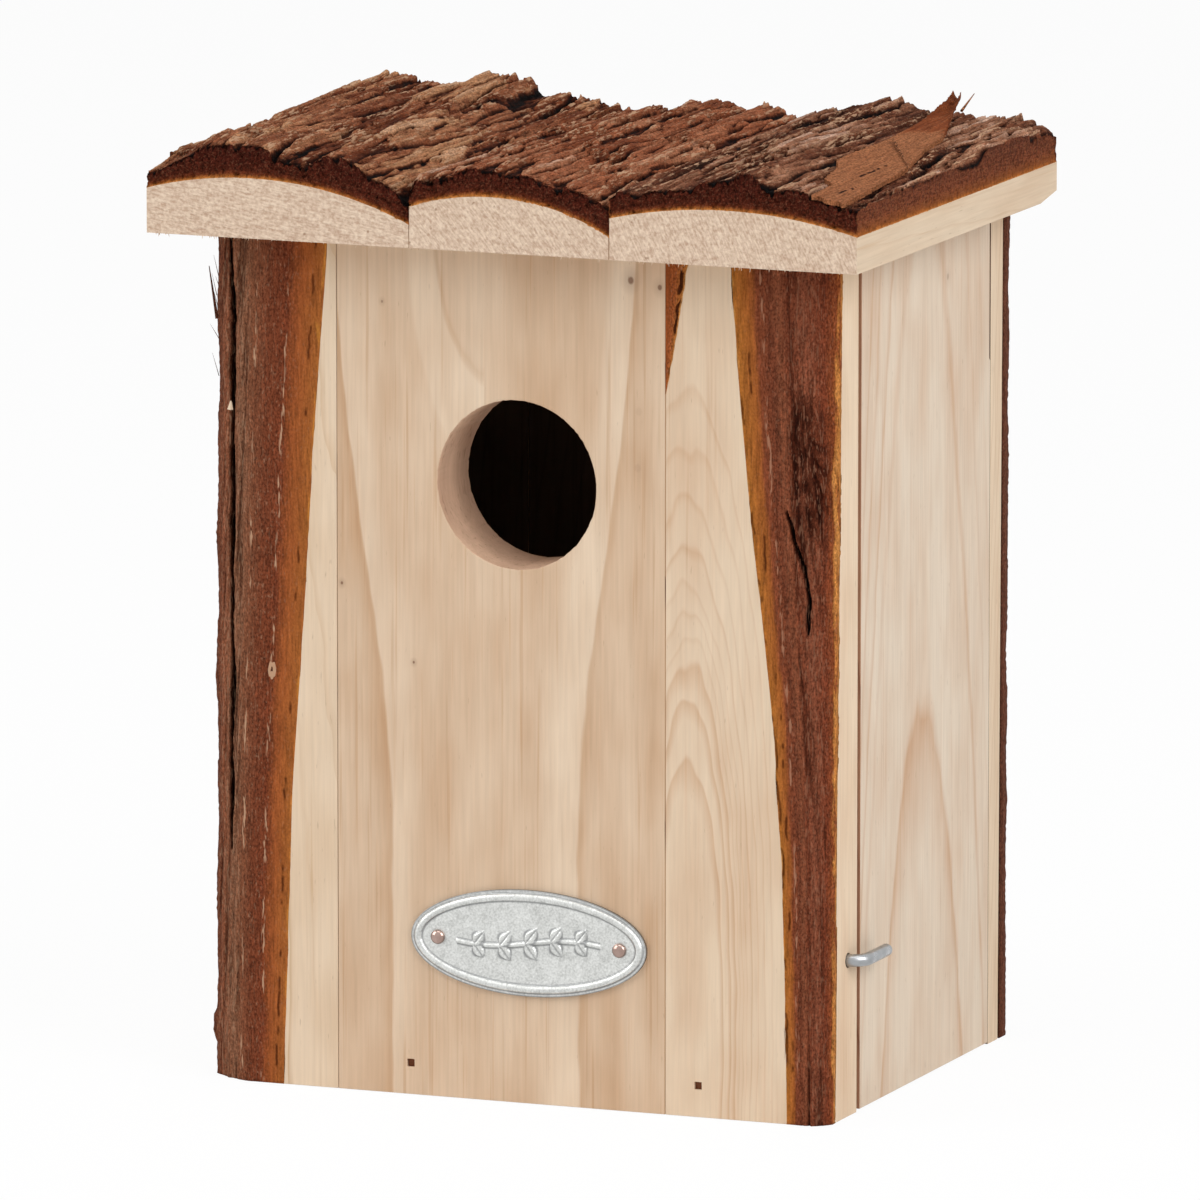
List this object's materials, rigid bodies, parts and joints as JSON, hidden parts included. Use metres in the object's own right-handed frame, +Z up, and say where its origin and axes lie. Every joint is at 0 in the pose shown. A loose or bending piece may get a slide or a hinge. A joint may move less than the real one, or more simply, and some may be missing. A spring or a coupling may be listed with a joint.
{
  "type": "birdhouse",
  "caption": "Wooden nest box with a bark-covered slab roof, waney front boards, a round entrance hole, a tin plate and a side door that swings on nails behind a wire latch.",
  "frame": {"origin": "Under the middle of the roof's outline, at the level that the walls stand on", "axes": "+Z up, the entrance hole faces -Y, the door is on the +X side"},
  "size_m": [0.1428, 0.1062, 0.1826],
  "materials": {
    "sawn_softwood": "sawn, unfinished",
    "wall_bark": "fibrous bark",
    "inner_bark": "sawn inner bark",
    "roof_bark": "rough flaking bark",
    "galvanised_tin": "pressed, galvanised",
    "zinc_steel": "bright zinc plated",
    "coppered_steel": "coppered steel"
  },
  "bodies": {
    "house": {"front_left_board": "sawn_softwood", "front_left_bark": "wall_bark", "front_centre_board": "sawn_softwood", "front_right_board": "sawn_softwood", "front_right_bark": "wall_bark", "front_bark_sliver": "inner_bark", "back_left_board": "sawn_softwood", "back_left_bark": "wall_bark", "back_centre_board": "sawn_softwood", "back_right_board": "sawn_softwood", "back_right_bark": "wall_bark", "left_wall": "sawn_softwood", "floor_board": "sawn_softwood", "roof_left_slab": "sawn_softwood", "roof_left_bark": "roof_bark", "roof_middle_slab": "sawn_softwood", "roof_middle_bark": "roof_bark", "roof_right_slab": "sawn_softwood", "roof_right_bark": "roof_bark", "roof_bark_flake": "roof_bark", "pivot_nails": "zinc_steel", "oval_plate": "galvanised_tin", "plate_pins": "coppered_steel", "floor_brads": "coppered_steel", "wall_brads": "coppered_steel", "roof_brads": "coppered_steel", "hanger": "zinc_steel", "hanger_screws": "zinc_steel"},
    "side_door": {"side_door": "sawn_softwood"},
    "latch_hook": {"latch_hook": "zinc_steel"}
  },
  "joints": [
    {"name": "door_swing", "type": "hinge", "parent": "house", "child": "side_door", "pos_m": [0.0565, 0, 0.14605], "axis": [0, -1, 0], "range_deg": [0, 90]},
    {"name": "hook_turn", "type": "hinge", "parent": "house", "child": "latch_hook", "pos_m": [0.0625, -0.03358, 0.0299], "axis": [1, 0, 0], "range_deg": [-90, 90]}
  ]
}
